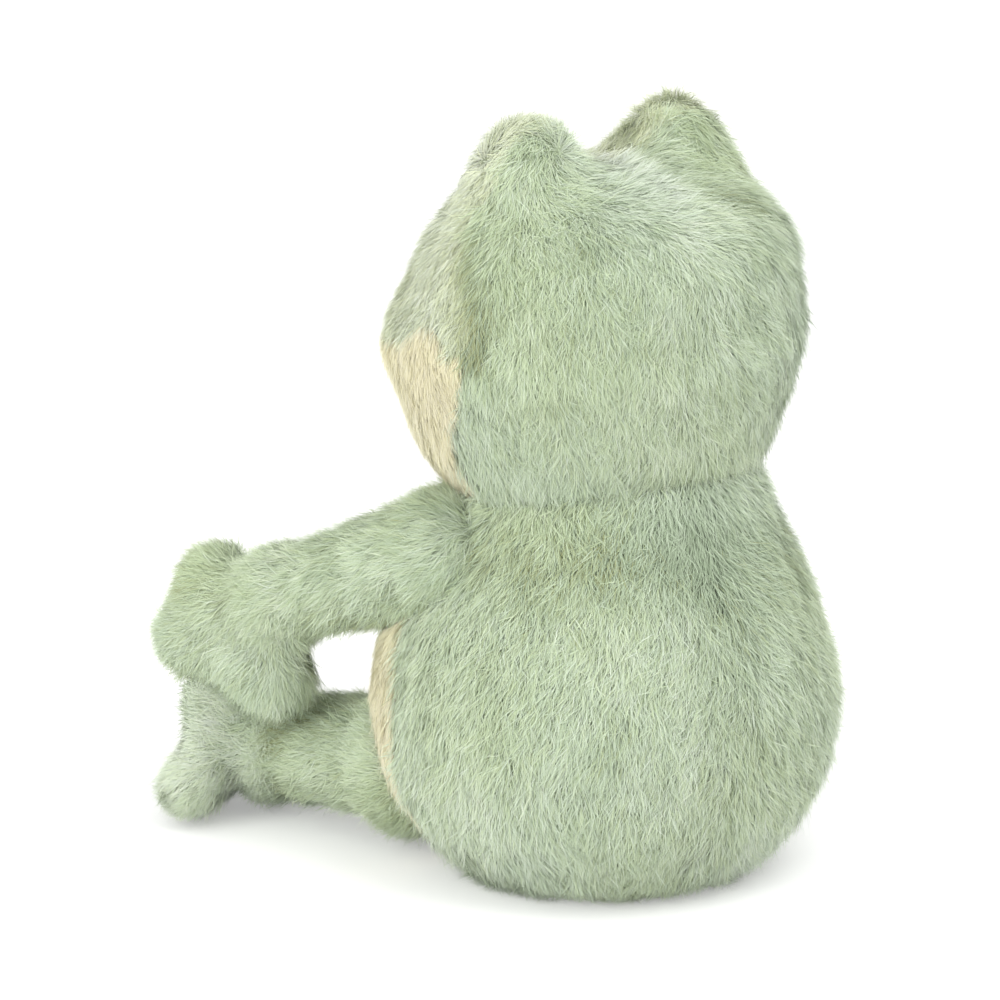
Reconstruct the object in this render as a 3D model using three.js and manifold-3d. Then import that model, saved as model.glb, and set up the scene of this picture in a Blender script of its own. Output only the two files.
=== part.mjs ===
// A seated plush frog, in millimetres. It sits on z = 0, faces -y and has its left side at +x.
// Every skin is a plush wall around its own stuffing, and limbs turn in ball-shaped seams.
import * as THREE from 'three';
import { mergeVertices } from 'three/addons/utils/BufferGeometryUtils.js';
import Module from 'manifold-3d';

const wasm = await Module();
wasm.setup();

// Cloth, thread and clearances
const plushWall = 4.5;
const seamGap = 0.3;
const fillGap = 0.3;
const turnGap = 0.8;
const floorPress = 0.5;
const overrun = 40;

// Torso: a pear of round sections from the floor to the neck seam
const torsoHalfWidth = 72;
const torsoHeight = 124;
const torsoProfileShares = [
  [0.45, 0], [0.6, 0.012], [0.71, 0.05], [0.82, 0.12], [0.945, 0.24], [1, 0.4],
  [0.985, 0.53], [0.915, 0.67], [0.83, 0.8], [0.74, 0.9],
];
const basePanelRadius = 28;
const basePanelRise = 20;
const tummySeamBack = 12;
const tummySeamShares = [[2.6, 0], [1.3, 0.2], [1, 0.42], [1.3, 0.6], [2.2, 0.8], [3.2, 1], [3.6, 1.3]];
const pouchRadius = 30;
const pouchHeight = 30;
const pouchFlat = 3;

// Neck: the head's underside slides on a ball that tops the torso
const neckRadius = 48.5;
const neckPivotDrop = 23;
const neckThreadRing = 26;
const neckThread = 1.2;

// Head: a wide skull, a crown, a muzzle and a jaw, blended together, with two eye mounds
const headHalfWidth = 65;
const headHalfDepth = 57;
const headHalfHeight = 46;
const headRise = 48;
const headForward = 4.6;
const headBlend = 9;
const headLobeShares = [
  { at: [0, 0.05, 0], half: [1, 1, 1] },
  { at: [0, 0.1, 0.46], half: [0.92, 0.9, 0.68] },
  { at: [0, -0.34, -0.12], half: [0.92, 0.72, 0.66] },
  { at: [0, -0.02, -0.48], half: [0.91, 0.95, 0.92] },
];
const moundSpread = 28;
const moundBack = 1;
const moundTop = 116;
const moundHalfWidth = 22.5;
const moundHalfDepth = 22;
const moundHalfHeight = 38;
const faceSeamBack = 14;
const faceSeamShares = [[0.2, 1.75], [0.2, 1.2], [0.1, 0.85], [0.85, 0.4], [1, 0], [0.9, -0.5], [0.7, -1.1]];
const muzzleSeamRise = 49;
const muzzleSeamDip = 4;

// Eyes, mouth and nostrils
const eyeRadius = 6.2;
const eyeDome = 4.4;
const eyeShankRadius = 1.6;
const eyeShankLength = 9;
const washerRadius = 7;
const washerThickness = 1.4;
const eyeTurn = 0.8;
const eyeLift = 0.86;
const eyeTilt = 0.06;
const mouthThread = 1.1;
const mouthHalfTurn = 0.62;
const mouthLift = -0.1;
const mouthDipTurn = 0.16;
const nostrilTurn = 0.11;
const nostrilLift = 0.12;
const nostrilHalfLength = 2.4;
const nostrilHalfWidth = 1.1;
const nostrilSlant = 0.5;

// Arm: from a ball in the torso's side to the wrist
const shoulderOut = 48;
const shoulderForward = 15;
const shoulderDrop = 19.2;
const shoulderRadius = 18.4;
const upperArmRadius = 18;
const wristOut = 66;
const wristForward = 77;
const wristHeight = 79.5;
const wristRadius = 16;
const armEndRadius = 15;
const armSag = 1;

// Hand: a mitt with three stubby fingers, its back turned outwards
const palmOut = 71;
const palmForward = 95;
const palmHeight = 65.5;
const palmHalfThickness = 12.5;
const palmHalfLength = 20;
const palmHalfHeight = 19;
const fingerHalfThickness = 11;
const fingerRadius = 12;
const fingerReach = 19;
const jointLobeShare = 0.92;
const fingerShares = [[0.62, 0.84], [-0.2, 1.05], [-1.55, 1]];
const handBlend = 6;

// Leg: it lies just over the floor, from a ball in the torso's seat to the ankle
const hipOut = 38;
const hipForward = 45;
const hipHeight = 28;
const hipRadius = 24;
const thighRadius = 20.5;
const ankleOut = 52;
const ankleForward = 101;
const ankleHeight = 22;
const ankleRadius = 18.5;
const legEndRadius = 16.5;

// Foot: an upturned paddle with three stubby toes, its sole turned forwards
const soleOut = 64;
const soleForward = 118;
const soleHeight = 22.4;
const soleHalfThickness = 12.5;
const soleHalfWidth = 21;
const soleHalfHeight = 21.6;
const toeHalfThickness = 11;
const toeRadius = 10.5;
const toeReach = 21;
const toeShares = [[-0.24, 1.12], [0.6, 0.96], [1.45, 0.86]];
const footBlend = 6;

// How finely the forms are drawn; what hides inside a skin gets a share of the faces
const torsoColumns = 24;
const torsoRows = 10;
const domeRows = 5;
const headColumns = 26;
const headRows = 16;
const limbColumns = 14;
const limbRows = 3;
const mittColumns = 22;
const mittRows = 7;
const ballRows = 9;
const socketColumns = 18;
const socketRows = 14;
const neckSocketRows = 20;
const hiddenShare = 0.55;
const hiddenColumns = 10;
const hiddenRows = 7;
const smallColumns = 10;
const eyeDomeRows = 4;
const knotColumns = 6;
const threadSides = 5;
const mouthSteps = 14;
const raySteps = 48;
const rayHalvings = 24;

// How far an arm rises, and what its inner side leaves free for the torso on the way
const armRaise = THREE.MathUtils.degToRad(40);
const sweepSteps = 2;
const sweepColumns = 14;
const sweepRows = 5;
const facetRoom = 2;

// Colours of the cloths, threads and fittings, and how rough each one is
const cloths = {
  longPile: { color: 0xb3c2a1, roughness: 0.95 },
  facePile: { color: 0xc4cfae, roughness: 0.95 },
  creamPile: { color: 0xddd7bc, roughness: 0.95 },
  stuffing: { color: 0xf2f1ec, roughness: 1 },
  pouchCloth: { color: 0xe6e2d6, roughness: 0.9 },
  eyeBead: { color: 0x0c0c0d, roughness: 0.12 },
  washer: { color: 0xe8e8e6, roughness: 0.4 },
  darkThread: { color: 0x3b3a33, roughness: 0.8 },
  greenThread: { color: 0x9db08b, roughness: 0.8 },
};

const neckPivot = new THREE.Vector3(0, 0, torsoHeight - neckPivotDrop);
const neckBallRadius = Math.hypot(neckRadius, neckPivotDrop);
const headCentre = new THREE.Vector3(0, -headForward, torsoHeight + headRise);

// Hidden forms inside a skin are drawn with fewer faces.
const facesOf = (count, inset) => Math.round(inset > 0 ? count * hiddenShare : count);

// Turns a closed three.js geometry into a solid that can be joined and cut.
function solidOf(geometry) {
  const bare = geometry.clone();
  bare.deleteAttribute('normal');
  bare.deleteAttribute('uv');
  const merged = mergeVertices(bare);
  return new wasm.Manifold(new wasm.Mesh({
    numProp: 3,
    vertProperties: new Float32Array(merged.attributes.position.array),
    triVerts: new Uint32Array(merged.index.array),
  }));
}

// Turns a solid back into a geometry, moved so that the given point is its origin.
function geometryOf(solid, origin) {
  const mesh = solid.getMesh();
  const geometry = new THREE.BufferGeometry();
  geometry.setAttribute('position', new THREE.BufferAttribute(mesh.vertProperties, mesh.numProp));
  geometry.setIndex(new THREE.BufferAttribute(mesh.triVerts, 1));
  geometry.translate(-origin.x, -origin.y, -origin.z);
  geometry.computeVertexNormals();
  return geometry;
}

// Closes a stack of rings, each counter-clockwise about the way the stack runs, into one geometry.
function ringForm(start, rings, end) {
  const columns = rings[0].length;
  const points = [start, ...rings.flat(), end];
  const index = [];
  const at = (row, column) => 1 + row * columns + (column % columns);
  for (let j = 0; j < columns; j++) {
    index.push(0, at(0, j + 1), at(0, j));
    index.push(points.length - 1, at(rings.length - 1, j), at(rings.length - 1, j + 1));
    for (let i = 0; i + 1 < rings.length; i++) {
      index.push(at(i, j), at(i, j + 1), at(i + 1, j + 1));
      index.push(at(i, j), at(i + 1, j + 1), at(i + 1, j));
    }
  }
  const geometry = new THREE.BufferGeometry().setFromPoints(points);
  geometry.setIndex(index);
  return geometry;
}

// Distance from a point to a lobe's surface, negative inside; close enough for blending.
function lobeDistance(point, lobe) {
  const share = point.clone().sub(lobe.at).applyQuaternion(lobe.turn).divide(lobe.half);
  const reach = share.length();
  const slope = share.divide(lobe.half).length();
  return slope === 0 ? -Math.min(...lobe.half.toArray()) : reach * (reach - 1) / slope;
}

function makeLobe(at, half, inset, turn = new THREE.Quaternion()) {
  return { at, half: half.clone().subScalar(inset), turn };
}

// Distance to all lobes, with the creases between them filled over the blend length.
function blendDistance(point, lobes, blend) {
  return lobes.map(lobe => lobeDistance(point, lobe)).reduce((a, b) => {
    const mix = Math.max(blend - Math.abs(a - b), 0) / blend;
    return Math.min(a, b) - mix * mix * blend / 4;
  });
}

// The outermost point of the blended lobes along a ray from the centre.
function blendSurface(centre, direction, lobes, blend, reach) {
  const at = far => centre.clone().addScaledVector(direction, far);
  let outer = reach;
  while (outer > 0 && blendDistance(at(outer), lobes, blend) > 0) {
    outer -= reach / raySteps;
  }
  let low = outer;
  let high = outer + reach / raySteps;
  for (let i = 0; i < rayHalvings; i++) {
    const middle = (low + high) / 2;
    if (blendDistance(at(middle), lobes, blend) > 0) {
      high = middle;
    } else {
      low = middle;
    }
  }
  return at(low);
}

// A closed form from blended lobes, seen from a centre that every point of its surface faces.
// Its rings lie around the pole, so a flat pad's outline gets a point for every column.
function blendForm({ centre, pole, lobes, blend, reach, rows, columns }) {
  const upright = new THREE.Quaternion().setFromUnitVectors(new THREE.Vector3(0, 1, 0), pole);
  const along = (polar, around) => {
    const direction = new THREE.Vector3().setFromSphericalCoords(1, polar, around);
    return blendSurface(centre, direction.applyQuaternion(upright), lobes, blend, reach);
  };
  const rings = [];
  for (let i = 1; i < rows; i++) {
    const polar = Math.PI * (1 - i / rows);
    rings.push(Array.from({ length: columns }, (_, j) => along(polar, 2 * Math.PI * j / columns)));
  }
  return ringForm(along(Math.PI, 0), rings, along(0, 0));
}

function ball(centre, radius, columns = limbColumns, rows = ballRows) {
  const sphere = new THREE.SphereGeometry(radius, columns, rows);
  return solidOf(sphere.translate(centre.x, centre.y, centre.z));
}

// A region of the side view, given by points (y, z), that runs through the whole width
const reachAll = torsoHeight + 2 * headRise + overrun;
function sideWall(points) {
  const wall = new THREE.ExtrudeGeometry(new THREE.Shape(points), {
    depth: 2 * reachAll, bevelEnabled: false, curveSegments: 1,
  });
  wall.translate(0, 0, -reachAll);
  wall.rotateZ(Math.PI / 2);
  wall.rotateY(Math.PI / 2);
  return solidOf(wall);
}

// What lies in front of a seam that runs up the side; the seam's points are (back, height).
function frontOf(seamPoints, shift) {
  const seam = new THREE.SplineCurve(
    seamPoints.map(([back, height]) => new THREE.Vector2(back + shift, height)));
  const edge = seam.getPoints(2 * seamPoints.length);
  const first = edge[0];
  const last = edge[edge.length - 1];
  return sideWall([
    ...edge, new THREE.Vector2(-reachAll, last.y), new THREE.Vector2(-reachAll, first.y),
  ]);
}

function slab(low, high) {
  const size = high.clone().sub(low);
  const middle = low.clone().lerp(high, 0.5);
  return solidOf(new THREE.BoxGeometry(...size.toArray()).translate(...middle.toArray()));
}

// What lies under the floor or under the pouch, and one side past half a seam's gap
const underFloor = slab(
  new THREE.Vector3(-reachAll, -reachAll, -overrun), new THREE.Vector3(reachAll, reachAll, 0));
const underPouch = slab(
  new THREE.Vector3(-reachAll, -reachAll, -overrun),
  new THREE.Vector3(reachAll, reachAll, plushWall + fillGap));
const sideHalf = side => slab(
  new THREE.Vector3(side > 0 ? seamGap / 2 : -reachAll, -reachAll, -overrun),
  new THREE.Vector3(side > 0 ? reachAll : -seamGap / 2, reachAll, reachAll));

// Torso

// The pear's side from the floor to the neck, and on over the ball that the head slides on
function torsoForm(inset, columns = torsoColumns, rows = torsoRows) {
  const neckTurn = Math.atan2(neckPivotDrop, neckRadius);
  const profile = new THREE.SplineCurve([
    ...torsoProfileShares.map(([width, height]) =>
      new THREE.Vector2(width * torsoHalfWidth, height * torsoHeight)),
    new THREE.Vector2(neckRadius, torsoHeight),
  ]);
  const bottom = inset > 0 ? inset : -floorPress;
  const pear = profile.getPoints(facesOf(rows, inset)).map(p => new THREE.Vector2(
    p.x - inset, bottom + p.y * (torsoHeight - bottom) / torsoHeight));
  const dome = Array.from({ length: domeRows }, (_, i) => {
    const turn = THREE.MathUtils.lerp(neckTurn, Math.PI / 2, (i + 1) / domeRows);
    const radius = neckBallRadius - inset;
    return new THREE.Vector2(radius * Math.cos(turn), neckPivot.z + radius * Math.sin(turn));
  });
  dome[domeRows - 1].x = 0;
  const outline = [new THREE.Vector2(0, pear[0].y), ...pear, ...dome];
  const form = new THREE.LatheGeometry(outline, facesOf(columns, inset));
  return solidOf(form.rotateX(Math.PI / 2)).subtract(underFloor);
}

function tummyFront(shift) {
  const seam = tummySeamShares.map(([back, height]) => [-back * tummySeamBack, height * torsoHeight]);
  seam[0][1] = -overrun;
  return frontOf(seam, shift);
}

function plug(radius, low, high) {
  const tube = new THREE.CylinderGeometry(radius, radius, high - low, torsoColumns);
  return solidOf(tube.rotateX(Math.PI / 2).translate(0, 0, (low + high) / 2));
}

// The groove that the neck thread lies in, or the thread itself
function neckRing(thickness) {
  const top = neckPivot.z + Math.sqrt(neckBallRadius ** 2 - neckThreadRing ** 2);
  const ring = new THREE.TorusGeometry(neckThreadRing, thickness, threadSides, torsoColumns);
  return solidOf(ring.translate(0, 0, top - 2 * neckThread));
}

// The pellet pouch, a lens that lies flat on the base panel; its room is open below.
function pouchForm(grow) {
  const half = pouchHeight / 2;
  const lens = new THREE.SphereGeometry(1, limbColumns, hiddenRows);
  lens.scale(pouchRadius + grow, pouchRadius + grow, half + grow);
  return solidOf(lens.translate(0, 0, plushWall + fillGap - pouchFlat + half));
}

// Head

function headLobes(inset) {
  const full = new THREE.Vector3(headHalfWidth, headHalfDepth, headHalfHeight);
  const lobes = headLobeShares.map(({ at, half }) => makeLobe(
    new THREE.Vector3(...at).multiply(full).add(headCentre),
    new THREE.Vector3(...half).multiply(full), inset));
  for (const side of [1, -1]) {
    const at = new THREE.Vector3(
      side * moundSpread, -headForward + moundBack, torsoHeight + moundTop - moundHalfHeight);
    const half = new THREE.Vector3(moundHalfWidth, moundHalfDepth, moundHalfHeight);
    lobes.push(makeLobe(at, half, inset));
  }
  return lobes;
}

const headReach = headHalfWidth + headHalfHeight;
function headForm(inset) {
  return solidOf(blendForm({
    centre: headCentre, pole: new THREE.Vector3(0, 0, 1), lobes: headLobes(inset),
    blend: headBlend, reach: headReach,
    rows: facesOf(headRows, inset), columns: facesOf(headColumns, inset),
  }));
}

// A point on the head's outside, by its turn to the side and its lift, seen from the head's centre.
function onHead(turn, lift) {
  const direction = new THREE.Vector3(
    Math.sin(turn) * Math.cos(lift), -Math.cos(turn) * Math.cos(lift), Math.sin(lift));
  return blendSurface(headCentre, direction, headLobes(0), headBlend, headReach);
}

function faceFront(shift) {
  const seam = faceSeamShares.map(
    ([back, height]) => [back * faceSeamBack, headCentre.z + height * headHalfHeight]);
  return frontOf(seam.reverse(), shift);
}

// The region above the muzzle's seam, which dips a little on its way to the front
function aboveMuzzle(shift) {
  const level = torsoHeight + muzzleSeamRise + shift;
  const points = [
    new THREE.Vector2(reachAll, level), new THREE.Vector2(reachAll, reachAll),
    new THREE.Vector2(-reachAll, reachAll), new THREE.Vector2(-reachAll, level - muzzleSeamDip),
    new THREE.Vector2(-headHalfDepth, level - muzzleSeamDip), new THREE.Vector2(0, level),
  ];
  return sideWall(points);
}

// A bead eye's axis frame: its seat on the cloth and the way it looks.
function eyeSeat(side) {
  const seat = onHead(side * eyeTurn, eyeLift);
  const across = onHead(side * eyeTurn + eyeTilt, eyeLift).sub(seat);
  const upward = onHead(side * eyeTurn, eyeLift + eyeTilt).sub(seat);
  return { seat, look: across.cross(upward).normalize() };
}

// A turned piece whose profile (radius, height) stands on a seat and runs along a look.
function turned(profile, columns, { seat, look }) {
  const lathe = new THREE.LatheGeometry(profile.map(p => new THREE.Vector2(...p)), columns);
  lathe.applyQuaternion(new THREE.Quaternion().setFromUnitVectors(new THREE.Vector3(0, 1, 0), look));
  return solidOf(lathe.translate(seat.x, seat.y, seat.z));
}

function bead(place) {
  const dome = [];
  for (let i = 0; i < eyeDomeRows; i++) {
    const turn = (Math.PI / 2) * i / eyeDomeRows;
    dome.push([eyeRadius * Math.cos(turn), fillGap + eyeDome * Math.sin(turn)]);
  }
  dome.push([0, fillGap + eyeDome]);
  const shank = [[0, -eyeShankLength], [eyeShankRadius, -eyeShankLength], [eyeShankRadius, fillGap]];
  return turned([...shank, ...dome], smallColumns, place);
}

const washerTop = -plushWall - fillGap;
function washer(place) {
  const bore = eyeShankRadius + fillGap;
  return turned([
    [bore, washerTop - washerThickness], [washerRadius, washerTop - washerThickness],
    [washerRadius, washerTop], [bore, washerTop], [bore, washerTop - washerThickness],
  ], smallColumns, place);
}

const shankHole = place => turned([
  [0, -eyeShankLength - fillGap], [eyeShankRadius + fillGap, -eyeShankLength - fillGap],
  [eyeShankRadius + fillGap, eyeRadius], [0, eyeRadius],
], smallColumns, place);

const washerRoom = (place, top) => turned([
  [0, washerTop - washerThickness - fillGap], [washerRadius + fillGap, washerTop - washerThickness - fillGap],
  [washerRadius + fillGap, top], [0, top],
], smallColumns, place);

// What the flat back of a bead presses flat in the face cloth
const beadSeat = place => turned([
  [0, 0], [eyeRadius + 2 * fillGap, 0], [eyeRadius + 2 * fillGap, eyeRadius], [0, eyeRadius],
], smallColumns, place);

// The mouth's line, a little clear of the cloth that it is stitched along
function mouthCurve() {
  const points = [];
  for (let i = 0; i <= mouthSteps; i++) {
    const share = 2 * i / mouthSteps - 1;
    const turn = share * mouthHalfTurn;
    const lift = mouthLift - mouthDipTurn * (1 - share * share);
    const point = onHead(turn, lift);
    const out = point.clone().sub(headCentre).normalize();
    points.push(point.addScaledVector(out, mouthThread + fillGap));
  }
  return new THREE.CatmullRomCurve3(points);
}

function mouthStitch() {
  const section = new THREE.Shape();
  section.absarc(0, 0, mouthThread, 0, 2 * Math.PI);
  return solidOf(new THREE.ExtrudeGeometry(section, {
    extrudePath: mouthCurve(), steps: mouthSteps, bevelEnabled: false, curveSegments: threadSides,
  }));
}

function nostrilStitch(side) {
  const seat = onHead(side * nostrilTurn, nostrilLift);
  const out = seat.clone().sub(headCentre).normalize();
  const knot = new THREE.SphereGeometry(1, knotColumns, threadSides).scale(
    nostrilHalfWidth, nostrilHalfWidth, nostrilHalfLength);
  const place = seat.addScaledVector(out, nostrilHalfWidth + fillGap);
  return solidOf(knot.rotateY(side * nostrilSlant).translate(place.x, place.y, place.z));
}

// Limbs

const onSide = (side, out, forward, height) => new THREE.Vector3(side * out, -forward, height);

// A tube of round sections between two joint centres, with a ball at its start
function limbForm(start, end, sag, startRadius, endRadius, ballRadius, inset) {
  const middle = start.clone().lerp(end, 0.5).add(new THREE.Vector3(0, 0, -sag));
  const path = new THREE.QuadraticBezierCurve3(start, middle, end);
  const columns = facesOf(limbColumns, inset);
  const rings = [];
  for (let i = 0; i <= limbRows; i++) {
    const share = i / limbRows;
    const centre = path.getPoint(share);
    const ahead = path.getTangent(share);
    const across = new THREE.Vector3(0, 0, 1).cross(ahead).normalize();
    const lift = ahead.clone().cross(across);
    const radius = THREE.MathUtils.lerp(startRadius, endRadius, share) - inset;
    rings.push(Array.from({ length: columns }, (_, j) => {
      const turn = 2 * Math.PI * j / columns;
      return centre.clone().addScaledVector(across, radius * Math.cos(turn))
        .addScaledVector(lift, radius * Math.sin(turn));
    }));
  }
  const root = ball(start, ballRadius - inset, columns, facesOf(ballRows, inset));
  return solidOf(ringForm(start, rings, end)).add(root);
}

function armForm(side, inset) {
  return limbForm(
    shoulder(side), wrist(side), armSag, upperArmRadius, armEndRadius, shoulderRadius, inset);
}

function legForm(side, inset) {
  return limbForm(hip(side), ankle(side), 0, thighRadius, legEndRadius, hipRadius, inset);
}

const shoulder = side => onSide(side, shoulderOut, shoulderForward, torsoHeight - shoulderDrop);
const wrist = side => onSide(side, wristOut, wristForward, wristHeight);
const hip = side => onSide(side, hipOut, hipForward, hipHeight);
const ankle = side => onSide(side, ankleOut, ankleForward, ankleHeight);

// A mitt or foot: a flat pad with lobes fanned in its own plane, blended with the joint's ball
function padForm({ centre, plane, half, tips, tipHalf, joint, jointRadius, blend }, inset) {
  const turn = new THREE.Quaternion().setFromRotationMatrix(
    new THREE.Matrix4().makeBasis(plane.along, plane.up, plane.normal)).invert();
  const lobes = [makeLobe(centre, half, inset, turn)];
  for (const tip of tips) {
    lobes.push(makeLobe(tip, tipHalf, inset, turn));
  }
  const ballHalf = new THREE.Vector3().setScalar(jointRadius * jointLobeShare);
  lobes.push(makeLobe(joint, ballHalf, inset));
  const root = ball(
    joint, jointRadius - inset, facesOf(limbColumns, inset), facesOf(ballRows, inset));
  return solidOf(blendForm({
    centre, pole: plane.normal, lobes, blend, reach: 3 * Math.max(...half.toArray()),
    rows: facesOf(mittRows, inset), columns: facesOf(mittColumns, inset),
  })).add(root);
}

// Tips fanned in a pad's plane, each by its turn in quarter turns and its share of the reach
function fan(centre, plane, reach, shares) {
  return shares.map(([turn, length]) => centre.clone()
    .addScaledVector(plane.along, reach * length * Math.cos(turn * Math.PI / 2))
    .addScaledVector(plane.up, reach * length * Math.sin(turn * Math.PI / 2)));
}

function handForm(side, inset) {
  const centre = onSide(side, palmOut, palmForward, palmHeight);
  const ahead = centre.clone().sub(wrist(side)).setZ(0).normalize();
  const up = new THREE.Vector3(0, 0, 1);
  const plane = { along: ahead, up, normal: ahead.clone().cross(up) };
  return padForm({
    centre, plane,
    half: new THREE.Vector3(palmHalfLength, palmHalfHeight, palmHalfThickness),
    tips: fan(centre, plane, fingerReach, fingerShares),
    tipHalf: new THREE.Vector3(fingerRadius, fingerRadius, fingerHalfThickness),
    joint: wrist(side), jointRadius: wristRadius, blend: handBlend,
  }, inset);
}

function footForm(side, inset) {
  const centre = onSide(side, soleOut, soleForward, soleHeight);
  const normal = centre.clone().sub(ankle(side)).setZ(0).normalize();
  const up = new THREE.Vector3(0, 0, 1);
  const along = up.clone().cross(normal).multiplyScalar(side);
  const plane = { along, up, normal: along.clone().cross(up) };
  return padForm({
    centre, plane,
    half: new THREE.Vector3(soleHalfWidth, soleHalfHeight, soleHalfThickness),
    tips: fan(centre, plane, toeReach, toeShares),
    tipHalf: new THREE.Vector3(toeRadius, toeRadius, toeHalfThickness),
    joint: ankle(side), jointRadius: ankleRadius, blend: footBlend,
  }, inset).subtract(underFloor);
}

// Cuts an arm clear of the torso in turns from rest to fully raised, all but its ball's own place.
function clearOfTorso(arm, side, spare) {
  const pivot = shoulder(side);
  const torso = torsoForm(-turnGap - facetRoom - spare, sweepColumns, sweepRows);
  let left = arm;
  for (let i = 0; i <= sweepSteps; i++) {
    const back = new THREE.Matrix4().makeTranslation(pivot.x, pivot.y, pivot.z)
      .multiply(new THREE.Matrix4().makeRotationX(armRaise * i / sweepSteps))
      .multiply(new THREE.Matrix4().makeTranslation(-pivot.x, -pivot.y, -pivot.z));
    left = left.subtract(moved(torso, back));
  }
  return left.add(arm.intersect(ball(pivot, shoulderRadius + turnGap / 2, socketColumns, socketRows)));
}

function moved(solid, matrix) {
  return solidOf(geometryOf(solid, new THREE.Vector3()).applyMatrix4(matrix));
}

// Assembly: each body is a group at its joint, so that turning the group poses the frog.

const frog = new THREE.Group();
const origin = new THREE.Vector3();

function addBody(parent, pivot) {
  const group = new THREE.Group();
  const base = parent.userData.pivot ?? origin;
  group.position.copy(pivot).sub(base);
  group.userData.pivot = pivot;
  parent.add(group);
  return group;
}

function addPiece(group, name, solid, cloth) {
  const pivot = group.userData.pivot ?? origin;
  const material = new THREE.MeshStandardMaterial({ ...cloths[cloth], metalness: 0 });
  const mesh = new THREE.Mesh(geometryOf(solid, pivot), material);
  mesh.name = name;
  group.add(mesh);
}

const sideNames = { 1: 'left', '-1': 'right' };
const sides = [1, -1];

function buildTorso() {
  let wall = torsoForm(0).subtract(torsoForm(plushWall)).subtract(neckRing(neckThread + fillGap));
  let filling = torsoForm(plushWall + fillGap).subtract(pouchForm(fillGap));
  for (const side of sides) {
    for (const [pivot, radius] of [[shoulder(side), shoulderRadius], [hip(side), hipRadius]]) {
      wall = wall.subtract(ball(pivot, radius + turnGap, socketColumns, socketRows));
      filling = filling.subtract(ball(pivot, radius + turnGap + facetRoom, hiddenColumns, hiddenRows));
    }
  }
  const baseHole = plug(basePanelRadius + seamGap, -overrun, basePanelRise);
  const basePlug = plug(basePanelRadius, -overrun, basePanelRise);
  const sideAndBack = wall.subtract(baseHole);
  const back = sideAndBack.subtract(tummyFront(seamGap));
  for (const side of sides) {
    addPiece(frog, `torso_back_${sideNames[side]}`, back.intersect(sideHalf(side)), 'longPile');
  }
  addPiece(frog, 'tummy_panel', sideAndBack.intersect(tummyFront(0)), 'creamPile');
  addPiece(frog, 'base_panel', wall.intersect(basePlug), 'longPile');
  addPiece(frog, 'torso_stuffing', filling, 'stuffing');
  addPiece(frog, 'pellet_pouch', pouchForm(0).subtract(underPouch), 'pouchCloth');
}

function buildHead() {
  const neck = addBody(frog, neckPivot);
  addPiece(neck, 'neck_thread', neckRing(neckThread), 'greenThread');
  const head = addBody(neck, neckPivot);
  const socket = ball(neckPivot, neckBallRadius + turnGap, headColumns, neckSocketRows);
  let wall = headForm(0).subtract(headForm(plushWall)).subtract(socket);
  let filling = headForm(plushWall + fillGap).subtract(socket);
  const eyes = sides.map(side => ({ side, place: eyeSeat(side) }));
  for (const { place } of eyes) {
    wall = wall.subtract(shankHole(place)).subtract(beadSeat(place))
      .subtract(washerRoom(place, washerTop + fillGap));
    filling = filling.subtract(shankHole(place)).subtract(washerRoom(place, 0));
  }
  const back = wall.subtract(faceFront(seamGap));
  const front = wall.intersect(faceFront(0));
  for (const side of sides) {
    addPiece(head, `head_back_${sideNames[side]}`, back.intersect(sideHalf(side)), 'longPile');
  }
  addPiece(head, 'face_panel', front.intersect(aboveMuzzle(seamGap)), 'facePile');
  addPiece(head, 'muzzle_panel', front.subtract(aboveMuzzle(0)), 'creamPile');
  addPiece(head, 'head_stuffing', filling, 'stuffing');
  for (const { side, place } of eyes) {
    addPiece(head, `eye_${sideNames[side]}`, bead(place), 'eyeBead');
    addPiece(head, `eye_washer_${sideNames[side]}`, washer(place), 'washer');
    addPiece(head, `nostril_stitch_${sideNames[side]}`, nostrilStitch(side), 'darkThread');
  }
  addPiece(head, 'mouth_stitch', mouthStitch(), 'darkThread');
}

// A limb and the mitt or foot at its end, each a skin around its stuffing
function buildLimb(side, { name, tipName, form, tipForm, pivot, tipPivot, tipRadius, clear, clearTip }) {
  const label = sideNames[side];
  const room = ball(tipPivot, tipRadius + turnGap, socketColumns, socketRows);
  const limb = addBody(frog, pivot);
  const limbSkin = clear(form(side, 0).subtract(room), 0).subtract(form(side, plushWall));
  const limbFilling = clear(form(side, plushWall + fillGap).subtract(room), fillGap);
  addPiece(limb, `${name}_${label}_skin`, limbSkin, 'longPile');
  addPiece(limb, `${name}_${label}_stuffing`, limbFilling, 'stuffing');
  const tip = addBody(limb, tipPivot);
  const tipSkin = clearTip(tipForm(side, 0)).subtract(tipForm(side, plushWall))
    .subtract(mouthOf(tipPivot, pivot, tipRadius));
  addPiece(tip, `${tipName}_${label}_skin`, tipSkin, 'longPile');
  addPiece(tip, `${tipName}_${label}_stuffing`, tipForm(side, plushWall + fillGap), 'stuffing');
}

// The opening in a mitt's ball through which it is filled, facing back along the limb
function mouthOf(tipPivot, pivot, tipRadius) {
  const back = pivot.clone().sub(tipPivot).normalize();
  const tube = new THREE.CylinderGeometry(tipRadius / 2, tipRadius / 2, tipRadius + overrun, limbColumns);
  tube.translate(0, (tipRadius + overrun) / 2, 0);
  tube.applyQuaternion(new THREE.Quaternion().setFromUnitVectors(new THREE.Vector3(0, 1, 0), back));
  return solidOf(tube.translate(tipPivot.x, tipPivot.y, tipPivot.z));
}

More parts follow.
